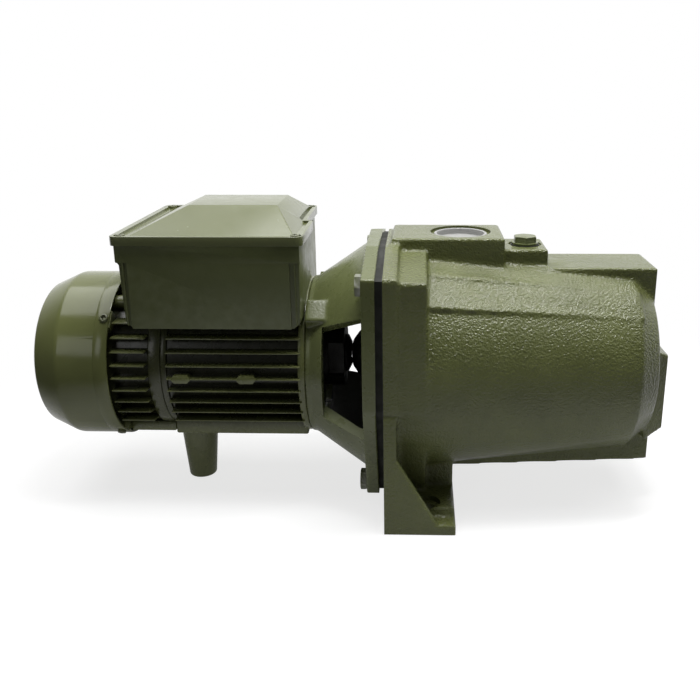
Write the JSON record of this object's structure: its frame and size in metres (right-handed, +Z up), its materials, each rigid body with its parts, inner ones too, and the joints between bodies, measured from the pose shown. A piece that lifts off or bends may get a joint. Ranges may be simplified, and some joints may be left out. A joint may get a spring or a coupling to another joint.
{
  "type": "centrifugal water pump",
  "caption": "Close-coupled self-priming centrifugal water pump with finned electric motor, terminal box, open lantern bracket and cast pump casing.",
  "frame": {"origin": "on the ground, midway between the two bolt holes of the pump foot", "axes": "+X along the shaft from the motor to the suction port, +Y across the pump away from the plain side of the terminal box, +Z up through the discharge port"},
  "size_m": [0.571, 0.2254, 0.277],
  "materials": {
    "bare_aluminium": "die cast, bare",
    "bearing_steel": "polished bearing steel",
    "black_plastic": "moulded, slightly grained",
    "black_rubber": "moulded rubber",
    "box_enamel": "glossy olive green enamel",
    "brass": "cast and machined brass",
    "cage_steel": "pressed steel",
    "capacitor_shell": "smooth moulded shell",
    "carbon": "pressed carbon",
    "cast_enamel": "olive green gloss enamel over rough cast iron",
    "ceramic": "ground ceramic",
    "copper_wire": "varnished copper wire",
    "core_steel": "stacked electrical steel sheets",
    "ground_steel": "ground stainless steel",
    "motor_enamel": "olive green semi-gloss enamel over cast aluminium and pressed steel",
    "painted_screw": "steel fastener painted with the casing",
    "plate_steel": "dark coated cast iron",
    "spring_steel": "oiled spring steel",
    "white_plastic": "moulded polyethylene",
    "zinc_steel": "zinc plated"
  },
  "bodies": {
    "housing": {"box_screws": "zinc_steel", "cable_gland": "black_plastic", "capacitor": "capacitor_shell", "capacitor_strap": "zinc_steel", "casing_gasket": "black_rubber", "diffuser": "black_plastic", "ejector_nozzle": "brass", "fan_cover": "motor_enamel", "fan_cover_screws": "zinc_steel", "flange_bolts": "painted_screw", "flange_washers": "painted_screw", "front_bearing_outer": "bearing_steel", "gland_nut": "black_plastic", "lantern_bracket": "cast_enamel", "leg_screw": "zinc_steel", "lid_screws": "painted_screw", "motor_frame": "motor_enamel", "motor_leg": "motor_enamel", "neck_ring": "ground_steel", "preload_washer": "spring_steel", "pump_body": "cast_enamel", "rear_bearing_outer": "bearing_steel", "rear_end_shield": "motor_enamel", "seal_plate": "plate_steel", "seal_seat": "ceramic", "seal_seat_cup": "black_rubber", "stator_core": "core_steel", "stator_windings": "copper_wire", "terminal_block": "black_plastic", "terminal_box_base": "box_enamel", "terminal_box_gasket": "black_rubber", "terminal_box_lid": "box_enamel", "terminal_studs": "brass", "tie_rods": "zinc_steel", "venturi_ring": "black_rubber", "venturi_tube": "black_plastic"},
    "rotor": {"shaft": "ground_steel", "cooling_fan": "black_plastic", "fan_clip": "spring_steel", "rotor_core": "core_steel", "rotor_cage": "bare_aluminium", "rear_bearing_inner": "bearing_steel", "front_bearing_inner": "bearing_steel", "water_slinger": "black_rubber", "seal_face": "carbon", "seal_bellows": "black_rubber", "seal_spring": "spring_steel", "impeller": "brass", "impeller_key": "ground_steel", "impeller_washer": "ground_steel", "impeller_nut": "brass"},
    "rear_cage": {"rear_bearing_cage": "cage_steel", "rear_bearing_balls": "bearing_steel"},
    "front_cage": {"front_bearing_cage": "cage_steel", "front_bearing_balls": "bearing_steel"},
    "outlet_cap": {"discharge_cap": "white_plastic"},
    "filler": {"fill_plug": "painted_screw", "fill_washer": "black_rubber"},
    "drain": {"drain_plug": "painted_screw", "drain_washer": "black_rubber"}
  },
  "joints": [
    {"name": "shaft_spin", "type": "hinge", "parent": "housing", "child": "rotor", "pos_m": [-0.15, 0, 0.129], "axis": [1, 0, 0], "continuous": true},
    {"name": "rear_cage_turn", "type": "hinge", "parent": "housing", "child": "rear_cage", "pos_m": [-0.257, 0, 0.129], "axis": [1, 0, 0], "continuous": true},
    {"name": "front_cage_turn", "type": "hinge", "parent": "housing", "child": "front_cage", "pos_m": [-0.1, 0, 0.129], "axis": [1, 0, 0], "continuous": true},
    {"name": "discharge_cap_lift", "type": "slide", "parent": "housing", "child": "outlet_cap", "axis": [0, 0, 1], "range_m": [0, 0.06]},
    {"name": "fill_plug_lift", "type": "slide", "parent": "housing", "child": "filler", "axis": [0, 0, 1], "range_m": [0, 0.03]},
    {"name": "drain_plug_pull", "type": "slide", "parent": "housing", "child": "drain", "axis": [0, 1, 0], "range_m": [0, 0.03]}
  ],
  "couplings": [
    {"joint": "rear_cage_turn", "follows": "shaft_spin", "ratio": 0.3815},
    {"joint": "front_cage_turn", "follows": "shaft_spin", "ratio": 0.3815}
  ]
}
